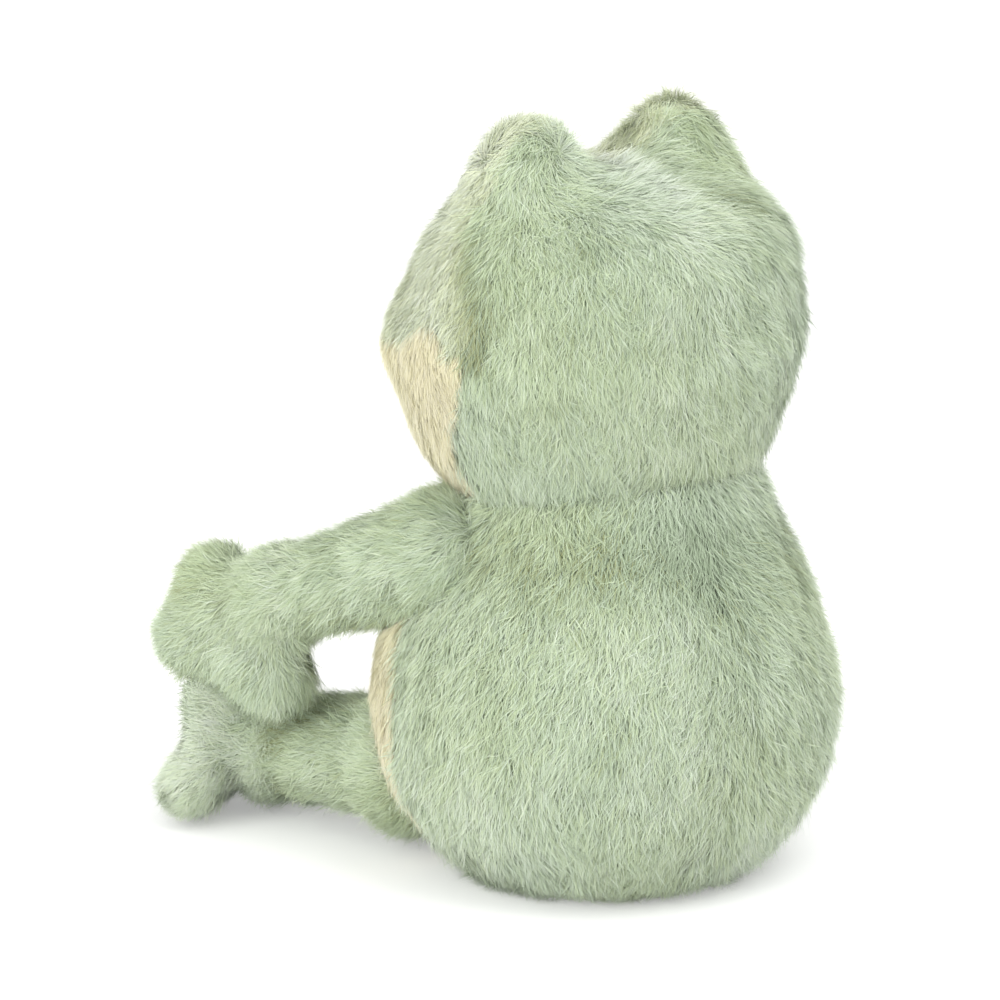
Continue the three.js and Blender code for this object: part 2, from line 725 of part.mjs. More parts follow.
// What a hand would sink into: the space that the foot sweeps as the leg turns at the hip
function footRoom(side) {
  const top = soleHeight + toeReach + toeRadius + fillGap;
  const near = Math.hypot(soleForward - hipForward, soleOut - hipOut) - soleHalfThickness - turnGap;
  const column = new THREE.CylinderGeometry(near, near, 2 * top + overrun, torsoColumns);
  const at = hip(side);
  const around = solidOf(column.rotateX(Math.PI / 2).translate(at.x, at.y, 0));
  return slab(new THREE.Vector3(-reachAll, -reachAll, -overrun), new THREE.Vector3(reachAll, 0, top))
    .subtract(around);
}

buildTorso();
buildHead();
for (const side of sides) {
  buildLimb(side, {
    name: 'arm', tipName: 'hand', form: armForm, tipForm: handForm,
    pivot: shoulder(side), tipPivot: wrist(side), tipRadius: wristRadius,
    clear: (arm, spare) => clearOfTorso(arm, side, spare),
    clearTip: hand => hand.subtract(footRoom(side)),
  });
  buildLimb(side, {
    name: 'leg', tipName: 'foot', form: legForm, tipForm: footForm,
    pivot: hip(side), tipPivot: ankle(side), tipRadius: ankleRadius,
    clear: leg => leg,
    clearTip: foot => foot,
  });
}

export default frog;
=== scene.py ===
# %% [markdown]
# # A seated plush frog
# The real toy is sewn from long-pile plush: a pear of a body, a head with two eye mounds, two arms
# that reach forward and two legs with upturned feet. The frame holds its solids, joints and sizes.
# Every skin here is rebuilt as a smooth form at the same place, and the pile grows on it.

# %% The frame
import math
import bpy
import numpy as np
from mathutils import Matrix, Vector


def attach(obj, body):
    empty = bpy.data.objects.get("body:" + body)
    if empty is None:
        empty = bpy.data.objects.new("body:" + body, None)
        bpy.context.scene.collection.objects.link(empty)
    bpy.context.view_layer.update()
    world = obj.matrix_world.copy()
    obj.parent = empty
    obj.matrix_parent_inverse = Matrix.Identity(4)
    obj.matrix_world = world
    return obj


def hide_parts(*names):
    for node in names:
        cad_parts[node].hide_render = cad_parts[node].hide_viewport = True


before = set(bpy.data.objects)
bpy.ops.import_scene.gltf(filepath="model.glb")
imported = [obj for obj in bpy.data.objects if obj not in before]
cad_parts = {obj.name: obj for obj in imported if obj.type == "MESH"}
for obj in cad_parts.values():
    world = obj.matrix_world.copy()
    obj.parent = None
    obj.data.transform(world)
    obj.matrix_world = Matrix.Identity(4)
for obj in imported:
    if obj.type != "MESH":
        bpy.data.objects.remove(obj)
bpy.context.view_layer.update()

# %% [markdown]
# ## The camera
# The photograph looks at the toy's back from its left, a little from above, through a long lens: the
# upright lines don't converge. So the camera stands 2.2 m away with a 257 mm lens.

# %% Camera
VIEW_AZIMUTH = math.radians(143)
VIEW_ELEVATION = math.radians(15.5)
VIEW_DISTANCE = 2.2
LENS, SENSOR = 257.4, 36
AIM = Vector((0.026, -0.0196, 0.116))

towards_camera = Vector((
    math.sin(VIEW_AZIMUTH) * math.cos(VIEW_ELEVATION),
    -math.cos(VIEW_AZIMUTH) * math.cos(VIEW_ELEVATION),
    math.sin(VIEW_ELEVATION)))
camera = bpy.data.objects.new("camera", bpy.data.cameras.new("camera"))
camera.data.lens = LENS
camera.data.sensor_width = SENSOR
camera.location = AIM + towards_camera * VIEW_DISTANCE
camera.rotation_mode = "QUATERNION"
camera.rotation_quaternion = (-towards_camera).to_track_quat("-Z", "Y")
bpy.context.collection.objects.link(camera)
bpy.context.scene.camera = camera
print("camera at", [round(x, 3) for x in camera.location])

# %% [markdown]
# ## Colours
# A picture's colours are stored on a curve, and a shader takes plain light amounts, so each colour is
# read off as it looks, from 0 to 255, and turned into light here.

# %% Colour and node helpers
def light(red, green, blue):
    looks = [c / 255 for c in (red, green, blue)]
    return [c / 12.92 if c < 0.04045 else ((c + 0.055) / 1.055) ** 2.4 for c in looks] + [1.0]


def new_material(name):
    """A material and its node tree, with only the output left in it."""
    material = bpy.data.materials.new(name)
    material.use_nodes = True
    tree = material.node_tree
    for node in list(tree.nodes):
        if node.type != "OUTPUT_MATERIAL":
            tree.nodes.remove(node)
    return material, tree


def ramp(tree, value, stops):
    """Colours at places from 0 to 1, mixed in between."""
    node = tree.nodes.new("ShaderNodeValToRGB")
    elements = node.color_ramp.elements
    elements[0].position, elements[0].color = stops[0]
    elements[1].position, elements[1].color = stops[-1]
    for position, colour in stops[1:-1]:
        elements.new(position).color = colour
    tree.links.new(value, node.inputs["Fac"])
    return node.outputs["Color"]


def mix(tree, way, factor, first, second):
    node = tree.nodes.new("ShaderNodeMix")
    node.data_type = "RGBA"
    node.blend_type = way
    for name, value in (("Factor", factor), ("A", first), ("B", second)):
        socket = node.inputs[name]
        if hasattr(value, "is_output"):
            tree.links.new(value, socket)
        else:
            socket.default_value = value
    return node.outputs["Result"]


def noise(tree, scale, detail=3.0):
    place = tree.nodes.new("ShaderNodeTexCoord")
    node = tree.nodes.new("ShaderNodeTexNoise")
    node.inputs["Scale"].default_value = scale
    node.inputs["Detail"].default_value = detail
    tree.links.new(place.outputs["Object"], node.inputs["Vector"])
    return node.outputs["Fac"]


def surface(tree, colour, roughness, sheen=0.0, coat=0.0):
    """The shader that every finish ends in."""
    node = tree.nodes.new("ShaderNodeBsdfPrincipled")
    tree.links.new(colour, node.inputs["Base Color"])
    node.inputs["Roughness"].default_value = roughness
    node.inputs["Sheen Weight"].default_value = sheen
    node.inputs["Coat Weight"].default_value = coat
    tree.links.new(node.outputs["BSDF"], tree.nodes["Material Output"].inputs["Surface"])
    return node


def bump(tree, shader, height, distance, strength=1.0):
    node = tree.nodes.new("ShaderNodeBump")
    node.inputs["Distance"].default_value = distance
    node.inputs["Strength"].default_value = strength
    tree.links.new(height, node.inputs["Height"])
    tree.links.new(node.outputs["Normal"], shader.inputs["Normal"])


# %% [markdown]
# ## The studio
# The toy stands on a plain white sweep in soft light from all round. A broad lamp stands high behind
# the toy's back and another low at its left side. The floor glows a little for the camera alone, so
# that it looks white, and it keeps the toy's soft shadow.

# %% Floor, backdrop and lamps
def studio_floor():
    half, back, top, curve = 3.0, 3.0, 4.0, 0.6
    away = Vector((-towards_camera.x, -towards_camera.y, 0)).normalized()
    side = Vector((away.y, -away.x, 0))
    outline = [(-half, 0.0), (back - curve, 0.0)]
    for step in range(1, 13):
        turn = math.pi / 2 * step / 12
        outline.append((back - curve + curve * math.sin(turn), curve - curve * math.cos(turn)))
    outline.append((back, top))
    points = [away * far + side * across + Vector((0, 0, high))
              for across in (-half * 2, half * 2) for far, high in outline]
    count = len(outline)
    faces = [(i, i + count, i + count + 1, i + 1) for i in range(count - 1)]
    mesh = bpy.data.meshes.new("sweep")
    mesh.from_pydata(points, [], faces)
    mesh.polygons.foreach_set("use_smooth", [True] * len(faces))
    sweep = bpy.data.objects.new("sweep", mesh)
    bpy.context.collection.objects.link(sweep)
    return sweep


FLOOR_SHARE = 0.82
FLOOR_GLOW = 0.3

floor = studio_floor()
floor_finish, tree = new_material("white_paper")
paper_white = [FLOOR_SHARE] * 3 + [1]
paper = surface(tree, ramp(tree, noise(tree, 2.0), [(0.4, paper_white), (0.6, paper_white)]), 0.9)
rays = tree.nodes.new("ShaderNodeLightPath")
seen = tree.nodes.new("ShaderNodeMath")
seen.operation = "MULTIPLY"
seen.inputs[1].default_value = FLOOR_GLOW
tree.links.new(rays.outputs["Is Camera Ray"], seen.inputs[0])
paper.inputs["Emission Color"].default_value = (1, 1, 1, 1)
tree.links.new(seen.outputs["Value"], paper.inputs["Emission Strength"])
floor.data.materials.append(floor_finish)

world = bpy.data.worlds.new("studio")
bpy.context.scene.world = world
world.use_nodes = True
sky = world.node_tree.nodes["Background"]
sky.inputs["Color"].default_value = (1, 1, 1, 1)
sky.inputs["Strength"].default_value = 1.0
bpy.context.scene.view_settings.view_transform = "Standard"
LAMP_AIM = Vector((0, 0, 0.12))


def area_lamp(name, azimuth, elevation, distance, size, power):
    turn, rise = math.radians(azimuth), math.radians(elevation)
    back = Vector((math.sin(turn) * math.cos(rise), -math.cos(turn) * math.cos(rise), math.sin(rise)))
    lamp = bpy.data.objects.new(name, bpy.data.lights.new(name, "AREA"))
    lamp.data.shape = "DISK"
    lamp.data.size = size
    lamp.data.energy = power
    lamp.location = LAMP_AIM + back * distance
    lamp.rotation_mode = "QUATERNION"
    lamp.rotation_quaternion = (-back).to_track_quat("-Z", "Y")
    bpy.context.collection.objects.link(lamp)
    print(name, power, "W")


area_lamp("key", 190, 55, 1.6, 1.0, 9.5)
area_lamp("fill", 98, 18, 1.8, 1.2, 13)

# %% [markdown]
# ## The forms
# Each stuffed form is described by its distance field: a number for every point in space, negative
# inside. Two fields can be blended where they meet, as stuffed cloth does in a crease. The sizes are
# the frame's own, in millimetres.

# %% Distance helpers
def lobe(points, at, half, turn=None):
    """An ellipsoid; turn's rows are its own axes."""
    share = points - at
    if turn is not None:
        share = share @ np.asarray(turn).T
    share = share / half
    reach = np.linalg.norm(share, axis=1)
    slope = np.maximum(np.linalg.norm(share / half, axis=1), 1e-9)
    return np.where(reach < 1e-6, -np.min(half), reach * (reach - 1) / slope)


def blended(fields, blend):
    total = fields[0]
    for field in fields[1:]:
        near = np.maximum(blend - np.abs(total - field), 0) / blend
        total = np.minimum(total, field) - near * near * blend / 4
    return total


def path_ball(points, start, middle, end, start_radius, end_radius):
    """A round limb along a bend from start to end, by the nearest of many stations on it."""
    share = np.linspace(0, 1, 25)[:, None]
    path = (1 - share) ** 2 * start + 2 * share * (1 - share) * middle + share ** 2 * end
    best = np.full(len(points), 1e9)
    for place, (station,) in zip(path, share):
        radius = start_radius + (end_radius - start_radius) * station
        best = np.minimum(best, np.linalg.norm(points - place, axis=1) - radius)
    return best


def fade(distance, width):
    """1 at no distance, falling softly to 0 at about twice the width."""
    return np.exp(-(distance / width) ** 2)


def slope_of(field, points, step=0.4):
    """The way out of a form at each point, as a unit vector."""
    out = np.stack([field(points + axis * step) - field(points - axis * step) for axis in np.eye(3)], axis=1)
    return out / np.maximum(np.linalg.norm(out, axis=1, keepdims=True), 1e-9)


# %% [markdown]
# ### The body
# A pear of round sections. Its side follows a smooth curve through measured widths, and on top it
# carries on over a ball, on which the head slides.

# %% The body's form
TORSO_HALF_WIDTH = 72.0
TORSO_HEIGHT = 124.0
TORSO_SHARES = [(0.45, 0), (0.6, 0.012), (0.71, 0.05), (0.82, 0.12), (0.945, 0.24), (1, 0.4),
                (0.985, 0.53), (0.915, 0.67), (0.83, 0.8), (0.74, 0.9)]
NECK_RADIUS = 48.5
NECK_PIVOT = np.array([0, 0, 101.0])
NECK_RISE = TORSO_HEIGHT - NECK_PIVOT[2]
NECK_BALL = math.hypot(NECK_RADIUS, NECK_RISE)


def smooth_through(points, steps):
    """Points on a curve that passes through all the given ones."""
    points = np.array(points, float)
    padded = np.vstack([points[:1], points, points[-1:]])
    t = (np.arange(steps) / steps)[:, None]
    curve = []
    for before, start, end, after in zip(padded, padded[1:], padded[2:], padded[3:]):
        leave, arrive = (end - before) / 2, (after - start) / 2
        curve.append((2 * start - 2 * end + leave + arrive) * t ** 3
                     + (3 * end - 3 * start - 2 * leave - arrive) * t ** 2 + leave * t + start)
    return np.vstack(curve + [points[-1:]])


pear_side = smooth_through(
    [(w * TORSO_HALF_WIDTH, h * TORSO_HEIGHT) for w, h in TORSO_SHARES] + [(NECK_RADIUS, TORSO_HEIGHT)], 12)
neck_turn = math.atan2(NECK_RISE, NECK_RADIUS)
dome_turns = np.linspace(neck_turn, math.pi / 2, 14)[1:]
dome_side = np.stack([NECK_BALL * np.cos(dome_turns), NECK_PIVOT[2] + NECK_BALL * np.sin(dome_turns)], axis=1)
torso_side = np.vstack([pear_side, dome_side])
torso_side[-1, 0] = 0.0


def torso_field(points):
    """Distance to the pear's side, by its radius at each height and how steep it is there."""
    radius = np.interp(points[:, 2], torso_side[:, 1], torso_side[:, 0])
    lean = np.interp(points[:, 2], torso_side[1:, 1],
                     np.abs(np.diff(torso_side[:, 0]) / np.maximum(np.diff(torso_side[:, 1]), 0.05)))
    across = (np.hypot(points[:, 0], points[:, 1]) - radius) / np.hypot(1, np.minimum(lean, 3))
    over = np.linalg.norm(points - NECK_PIVOT, axis=1) - NECK_BALL
    return np.where(points[:, 2] > TORSO_HEIGHT, over, np.maximum(across, -points[:, 2]))


print("torso radius at 50 mm:", round(float(np.interp(50, torso_side[:, 1], torso_side[:, 0])), 1), "mm")

# %% [markdown]
# ### The head
# Four wide lobes make the skull, the crown, the muzzle and the jaw, and two tall ones make the
# mounds that carry the eyes. Blending them gives the soft saddle between the mounds.

# %% The head's form
HEAD_CENTRE = np.array([0, -4.6, 172.0])
HEAD_HALF = np.array([65.0, 57.0, 46.0])
HEAD_LOBES = [((0, 0.05, 0), (1, 1, 1)), ((0, 0.1, 0.46), (0.92, 0.9, 0.68)),
              ((0, -0.34, -0.12), (0.92, 0.72, 0.66)), ((0, -0.02, -0.48), (0.91, 0.95, 0.92))]
MOUND_AT = np.array([28.0, -3.6, 202.0])
MOUND_HALF = np.array([22.5, 22.0, 38.0])
HEAD_BLEND = 9.0


def head_field(points):
    fields = [lobe(points, np.array(at) * HEAD_HALF + HEAD_CENTRE, np.array(half) * HEAD_HALF)
              for at, half in HEAD_LOBES]
    fields += [lobe(points, MOUND_AT * (side, 1, 1), MOUND_HALF) for side in (1, -1)]
    return blended(fields, HEAD_BLEND)


# %% [markdown]
# ### Arms, hands, legs and feet
# An arm is a tapering tube with a ball at its root. A hand is a flat pad with three stubby lobes
# fanned in its own plane, and a foot is the same, stood up on its heel and leaning back a little. The
# right side is the left side's mirror image, so every field takes a side, 1 for left and -1 for right.

# %% The limbs' forms
SHOULDER, WRIST = np.array([48, -15, 104.8]), np.array([66, -77, 79.5])
HIP, ANKLE = np.array([38, -45, 28.0]), np.array([52, -101, 22.0])
PALM, SOLE = np.array([71, -95, 65.5]), np.array([63, -116.6, 22.4])
FOOT_LEAN = 0.2
ARM_SIZES = {"root": 20.2, "start": 19.8, "end": 13.4, "sag": 0.6}
LEG_SIZES = {"root": 24.0, "start": 20.5, "end": 16.5, "sag": 0.0}
HAND_SIZES = {"joint": 14.0, "pad": (20, 19, 12.5), "reach": 19, "tip": (12, 12, 11), "blend": 12.0}
FOOT_SIZES = {"joint": 18.5, "pad": (21, 21.6, 12.5), "reach": 21, "tip": (10.5, 10.5, 11), "blend": 9.0}
FINGER_SHARES = ((0.62, 0.84), (-0.2, 1.05), (-1.55, 1))
TOE_SHARES = ((-0.24, 1.12), (0.6, 0.96), (1.45, 0.86))


def mirrored(points, side):
    return points * np.array([side, 1, 1])


def limb_field(points, start, end, sizes):
    middle = (start + end) / 2 - np.array([0, 0, sizes["sag"]])
    tube = path_ball(points, start, middle, end, sizes["start"], sizes["end"])
    return np.minimum(tube, np.linalg.norm(points - start, axis=1) - sizes["root"])


def pad_axes(centre, joint, upright_pad):
    """Along, up and normal of a pad: a hand's plane runs on from the wrist, a foot's faces ahead."""
    ahead = (centre - joint) * (1, 1, 0)
    ahead = ahead / np.linalg.norm(ahead)
    up = np.array([0, 0, 1.0])
    if not upright_pad:
        return np.array([ahead, up, np.cross(ahead, up)])
    across = np.cross(up, ahead)
    up = (up - FOOT_LEAN * ahead) / math.hypot(1, FOOT_LEAN)
    return np.array([across, up, np.cross(across, up)])


def pad_field(points, centre, joint, sizes, axes, tips):
    """A pad and its tips, blended into a ball a little smaller than the joint's own."""
    from_joint = np.linalg.norm(points - joint, axis=1)
    fields = [lobe(points, centre, np.array(sizes["pad"]), axes)]
    fields += [lobe(points, tip, np.array(sizes["tip"]), axes) for tip in tips]
    fields.append(from_joint - sizes["joint"] * 0.92)
    return np.minimum(blended(fields, sizes["blend"]), from_joint - sizes["joint"])


def fan(centre, axes, reach, shares):
    """Tips in a pad's plane, each by its turn in quarter turns and its share of the reach."""
    tips = []
    for quarter, length in shares:
        turn = quarter * math.pi / 2
        tips.append(centre + reach * length * (math.cos(turn) * axes[0] + math.sin(turn) * axes[1]))
    return tips


HAND_AXES = pad_axes(PALM, WRIST, False)
FOOT_AXES = pad_axes(SOLE, ANKLE, True)
FINGER_TIPS = fan(PALM, HAND_AXES, HAND_SIZES["reach"], FINGER_SHARES)
TOE_TIPS = fan(SOLE, FOOT_AXES, FOOT_SIZES["reach"], TOE_SHARES)


def arm_field(points, side):
    return limb_field(mirrored(points, side), SHOULDER, WRIST, ARM_SIZES)


def leg_field(points, side):
    return limb_field(mirrored(points, side), HIP, ANKLE, LEG_SIZES)


def hand_field(points, side):
    return pad_field(mirrored(points, side), PALM, WRIST, HAND_SIZES, HAND_AXES, FINGER_TIPS)


def foot_field(points, side):
    pad = pad_field(mirrored(points, side), SOLE, ANKLE, FOOT_SIZES, FOOT_AXES, TOE_TIPS)
    return np.maximum(pad, -points[:, 2])


print("finger tips (mm):", np.round(FINGER_TIPS, 0).tolist())

# %% [markdown]
# ## From a form to a mesh
# A ray from a point inside meets the skin where its form's field crosses zero, so rings of rays give
# a smooth grid of points. The same grid makes the cloth under the pile and the roots of the pile.

# %% Rings of rays
def cast(field, origins, directions, reach, steps=36):
    """The outermost point of a form along each ray."""
    far = np.zeros(len(origins))
    found = np.zeros(len(origins), bool)
    for step in range(steps, -1, -1):
        distance = reach * step / steps
        inside = (field(origins + directions * distance) < 0) & ~found
        far[inside] = distance
        found |= inside
        if found.all():
            break
    low, high = far, far + reach / steps
    for halving in range(12):
        middle = (low + high) / 2
        inside = field(origins + directions * middle[:, None]) < 0
        low, high = np.where(inside, middle, low), np.where(inside, high, middle)
    return origins + directions * low[:, None]


def round_grid(field, centre, pole, rows, columns, reach):
    """Rings about a pole, for a form whose whole skin is seen from its centre."""
    pole = np.asarray(pole, float)
    first = np.cross(pole, (0, 1, 0) if abs(pole[2]) > 0.9 else (0, 0, 1))
    first = first / np.linalg.norm(first)
    second = np.cross(pole, first)
    polar = np.pi * (1 - (np.arange(rows) + 0.5) / rows)[:, None]
    around = 2 * np.pi * np.arange(columns)[None, :] / columns
    directions = (np.cos(polar)[..., None] * pole + np.sin(polar)[..., None]
                  * (np.cos(around)[..., None] * first + np.sin(around)[..., None] * second)).reshape(-1, 3)
    origins = np.tile(np.asarray(centre, float), (len(directions), 1))
    return cast(field, origins, directions, reach).reshape(rows, columns, 3)


def limb_grid(field, start, end, sag, rows, columns, reach=40):
    """Rings square to a limb's bend, closed by rings of slanting rays at both of its ends."""
    middle = (start + end) / 2 - np.array([0, 0, sag])
    stations = [(0.0, turn) for turn in np.linspace(-85, -8, 10)]
    stations += [(share, 0.0) for share in np.linspace(0.02, 0.98, rows)]
    stations += [(1.0, turn) for turn in np.linspace(8, 85, 10)]
    around = 2 * np.pi * np.arange(columns) / columns
    origins, directions = [], []
    for share, turn in stations:
        centre = (1 - share) ** 2 * start + 2 * share * (1 - share) * middle + share ** 2 * end
        ahead = (1 - share) * (middle - start) + share * (end - middle)
        ahead = ahead / np.linalg.norm(ahead)
        across = np.cross((0, 0, 1), ahead)
        across = across / np.linalg.norm(across)
        lift = np.cross(ahead, across)
        lean = math.radians(turn)
        ring = np.cos(around)[:, None] * across + np.sin(around)[:, None] * lift
        directions.append(ring * math.cos(lean) + ahead * math.sin(lean))
        origins.append(np.tile(centre, (columns, 1)))
    return cast(field, np.vstack(origins), np.vstack(directions), reach).reshape(len(stations), columns, 3)


def pear_grid(columns):
    """Rings of the body from its flat seat to the top of its ball."""
    rises = [(radius, 0.0) for radius in np.linspace(3, torso_side[0, 0] - 2, 8)]
    side = torso_side[:-1]
    spans = np.concatenate([[0], np.cumsum(np.hypot(*np.diff(side, axis=0).T))])
    even = np.linspace(0, spans[-1], 96)
    rises += list(zip(np.interp(even, spans, side[:, 0]), np.interp(even, spans, side[:, 1])))
    around = 2 * np.pi * np.arange(columns) / columns
    return np.array([
        [(radius * math.cos(a), radius * math.sin(a), high) for a in around] for radius, high in rises])


grids = {
    "torso": pear_grid(144),
    "head": round_grid(head_field, HEAD_CENTRE, (0, 0, 1), 100, 144, 112),
}
for side, word in ((1, "left"), (-1, "right")):
    for limb, field, start, end, sag, columns in (
            ("arm", arm_field, SHOULDER, WRIST, ARM_SIZES["sag"], 48),
            ("leg", leg_field, HIP, ANKLE, LEG_SIZES["sag"], 56)):
        start, end = mirrored(start, side), mirrored(end, side)
        grids[f"{limb}_{word}"] = limb_grid(lambda p: field(p, side), start, end, sag, 30, columns)
    for limb, field, centre, axes in (
            ("hand", hand_field, PALM, HAND_AXES), ("foot", foot_field, SOLE, FOOT_AXES)):
        centre, pole = mirrored(centre, side), mirrored(axes[2], side)
        grids[f"{limb}_{word}"] = round_grid(lambda p: field(p, side), centre, pole, 48, 84, 60)
fields = {"torso": torso_field, "head": head_field}
for side, word in ((1, "left"), (-1, "right")):
    for limb, field in (("arm", arm_field), ("leg", leg_field), ("hand", hand_field), ("foot", foot_field)):
        fields[f"{limb}_{word}"] = lambda p, field=field, side=side: field(p, side)


def eased(form, points):
    """Points on a form's skin, raised to run smoothly into the forms it is sewn to."""
    for other, blend in EASED.get(form, ()):
        def both(p, other=other, blend=blend):
            return blended([fields[form](p), fields[other](p)], blend)
        near = np.clip(fields[other](points) / 4 + 1, 0, 1)
        points = points - slope_of(both, points) * (both(points) * near)[:, None]
    return points


def way_out(form, points):
    out = slope_of(fields[form], points)
    for other, blend in EASED.get(form, ()):
        both = slope_of(lambda p: blended([fields[form](p), fields[other](p)], blend), points)
        out = np.where((fields[other](points) > -blend / 3)[:, None], both, out)
    return out


ARMPIT_BLEND, WRIST_BLEND = 9.0, 8.0
EASED = {"torso": [("arm_left", ARMPIT_BLEND), ("arm_right", ARMPIT_BLEND)]}
for word in ("left", "right"):
    EASED["arm_" + word] = [("torso", ARMPIT_BLEND), ("hand_" + word, WRIST_BLEND)]
    EASED["hand_" + word] = [("arm_" + word, WRIST_BLEND)]
for form, grid in grids.items():
    print(form, "grid", grid.shape[:2], "size", np.round(np.ptp(grid.reshape(-1, 3), axis=0), 1), "mm")

# %% [markdown]
# ## Panels and their seams
# The body is sewn from two back panels, a cream tummy and a round base; the head from two back
# panels, a paler face and a cream muzzle. A panel is told by which side of each seam a point lies on.

# %% Seam lines
tummy_seam = smooth_through([(-12 * back, 124 * high) for back, high in (
    (2.6, -0.02), (1.3, 0.2), (1, 0.42), (1.3, 0.6), (2.2, 0.8), (3.2, 1), (3.6, 1.3))], 8)
face_seam = smooth_through([(14 * back, 172 + 46 * high) for back, high in (
    (0.7, -1.1), (0.9, -0.5), (1, 0), (0.85, 0.4), (0.1, 0.85), (0.2, 1.2), (0.2, 1.75))], 8)


def behind(points, seam):
    """How far a point lies behind a seam that runs up the side, in millimetres."""
    return points[:, 1] - np.interp(points[:, 2], seam[:, 1], seam[:, 0])


def above_muzzle(points):
    return points[:, 2] - np.interp(points[:, 1], [-57, 0], [169, 173])


def torso_panel(points):
    base = (np.hypot(points[:, 0], points[:, 1]) < BASE_RADIUS) & (points[:, 2] < 12)
    back = np.where(points[:, 0] > 0, "torso_back_left", "torso_back_right")
    return np.where(base, "base_panel", np.where(behind(points, tummy_seam) < 0, "tummy_panel", back))


def head_panel(points):
    back = np.where(points[:, 0] > 0, "head_back_left", "head_back_right")
    front = np.where(above_muzzle(points) > 0, "face_panel", "muzzle_panel")
    return np.where(behind(points, face_seam) < 0, front, back)


def torso_seams(points):
    """Distance to the nearest of the body's seams."""
    tummy = np.abs(behind(points, tummy_seam)) * np.where(np.abs(points[:, 0]) > 10, 0.9, 1)
    back = np.where(behind(points, tummy_seam) > 0, np.abs(points[:, 0]), 99.0)
    base = np.where(points[:, 2] < 4, np.abs(np.hypot(points[:, 0], points[:, 1]) - BASE_RADIUS), 99.0)
    return np.minimum(np.minimum(tummy, back), base)


def head_seams(points):
    face = np.abs(behind(points, face_seam))
    back = np.where(behind(points, face_seam) > 0, np.abs(points[:, 0]), 99.0)
    muzzle = np.where(behind(points, face_seam) < 0, np.abs(above_muzzle(points)), 99.0)
    return np.minimum(np.minimum(face, back), muzzle)


# %% [markdown]
# ## The cloth under the pile
# Plush is pile on a knitted backing, which shows between the strands. Here the backing is a smooth
# skin a little inside the toy's outside, drawn in along its seams, with fine noise for colour and bump.
# It is painted darker than the pile, as painted shade between the strands. Each skin is a separate piece with
# real thickness.

# %% Soft noise in space
def waves(points, length, seed, count=7):
    """A smooth random value near -1 to 1 for every point, with lumps of about the given length."""
    maker = np.random.default_rng(seed)
    total = np.zeros(len(points))
    for wave in range(count):
        way = maker.normal(size=3)
        way = way / np.linalg.norm(way) * 2 * np.pi / (length * maker.uniform(1.4, 2.6))
        total += np.sin(points @ way + maker.uniform(0, 2 * np.pi))
    return total / math.sqrt(count) / 1.1


# %% Backing finishes, painted darker as shade between the strands
def painted_shade_backing(name, dark, mid, pale):
    material, tree = new_material(name)
    lumps = ramp(tree, noise(tree, 160, 4), [(0.3, light(*dark)), (0.52, light(*mid)), (0.75, light(*pale))])
    tufts = ramp(tree, noise(tree, 1400, 2), [(0.35, light(188, 188, 188)), (0.65, light(255, 255, 255))])
    shader = surface(tree, mix(tree, "MULTIPLY", 0.8, lumps, tufts), 0.95, sheen=0.15)
    bump(tree, shader, noise(tree, 1400, 2), 0.0006, 0.8)
    return material


# Backing colours for each pile, darker than the pile's own: painted shade between the strands.
painted_shade_backings = {
    "long_pile": painted_shade_backing("green_backing_painted_shade", (168, 184, 148), (188, 203, 170), (204, 217, 188)),
    "face_pile": painted_shade_backing("face_backing_painted_shade", (186, 196, 164), (204, 212, 184), (218, 225, 200)),
    "cream_pile": painted_shade_backing("cream_backing_painted_shade", (228, 221, 186), (238, 232, 202), (247, 243, 220)),
}
SLOTS = {"face_panel": "face_pile", "muzzle_panel": "cream_pile", "tummy_panel": "cream_pile"}
SKIN_DEPTH, SEAM_DEPTH, SEAM_WIDTH = 2.3, 0.8, 3.0
CLOTH_THICKNESS, CLOTH_REST = 1.5, 0.35
BASE_RADIUS = 28.0


# %% Skins
def piece_from(name, points, faces, material):
    """A mesh piece from points in millimetres."""
    mesh = bpy.data.meshes.new(name)
    mesh.from_pydata((np.asarray(points) * 0.001).tolist(), [], faces)
    mesh.polygons.foreach_set("use_smooth", [True] * len(faces))
    mesh.materials.append(material)
    piece = bpy.data.objects.new(name, mesh)
    bpy.context.collection.objects.link(piece)
    return piece


def sewn_skin(name, form, node, body, keep=None, seams=None, hide=()):
    """One panel of a form as a soft skin, in place of its node and the stuffing behind it."""
    grid = grids[form]
    rows, columns = grid.shape[:2]
    points = eased(form, grid.reshape(-1, 3))
    outward = way_out(form, points)
    depth = SKIN_DEPTH + 0.5 * waves(points, 30, 5)
    if seams is not None:
        depth = depth + SEAM_DEPTH * fade(seams(points), SEAM_WIDTH)
    skin = points - outward * depth[:, None]
    skin[:, 2] = np.maximum(skin[:, 2], CLOTH_REST)
    at = np.arange(rows * columns).reshape(rows, columns)
    quads = np.stack([at[:-1], np.roll(at[:-1], -1, 1), np.roll(at[1:], -1, 1), at[1:]], axis=-1)
    quads = quads.reshape(-1, 4)
    ends = [list(at[0][::-1]), list(at[-1])]
    middles = points[quads].mean(axis=1)
    if keep is not None:
        quads = quads[keep(middles) == node]
        ends = [end for end in ends if keep(points[end].mean(axis=0)[None])[0] == node]
    used, quads = np.unique(quads, return_inverse=True)
    faces = quads.reshape(-1, 4).tolist()
    place = {old: new for new, old in enumerate(used)}
    faces += [[place[i] for i in end] for end in ends if all(i in place for i in end)]
    slot = SLOTS.get(node, "long_pile")
    piece = piece_from(name, skin[used], faces, painted_shade_backings[slot])
    thick = piece.modifiers.new("cloth", "SOLIDIFY")
    thick.thickness = CLOTH_THICKNESS * 0.001
    thick.offset = -1
    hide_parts(node, *hide)
    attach(piece, body)
    print(name, len(faces), "faces")
    return piece


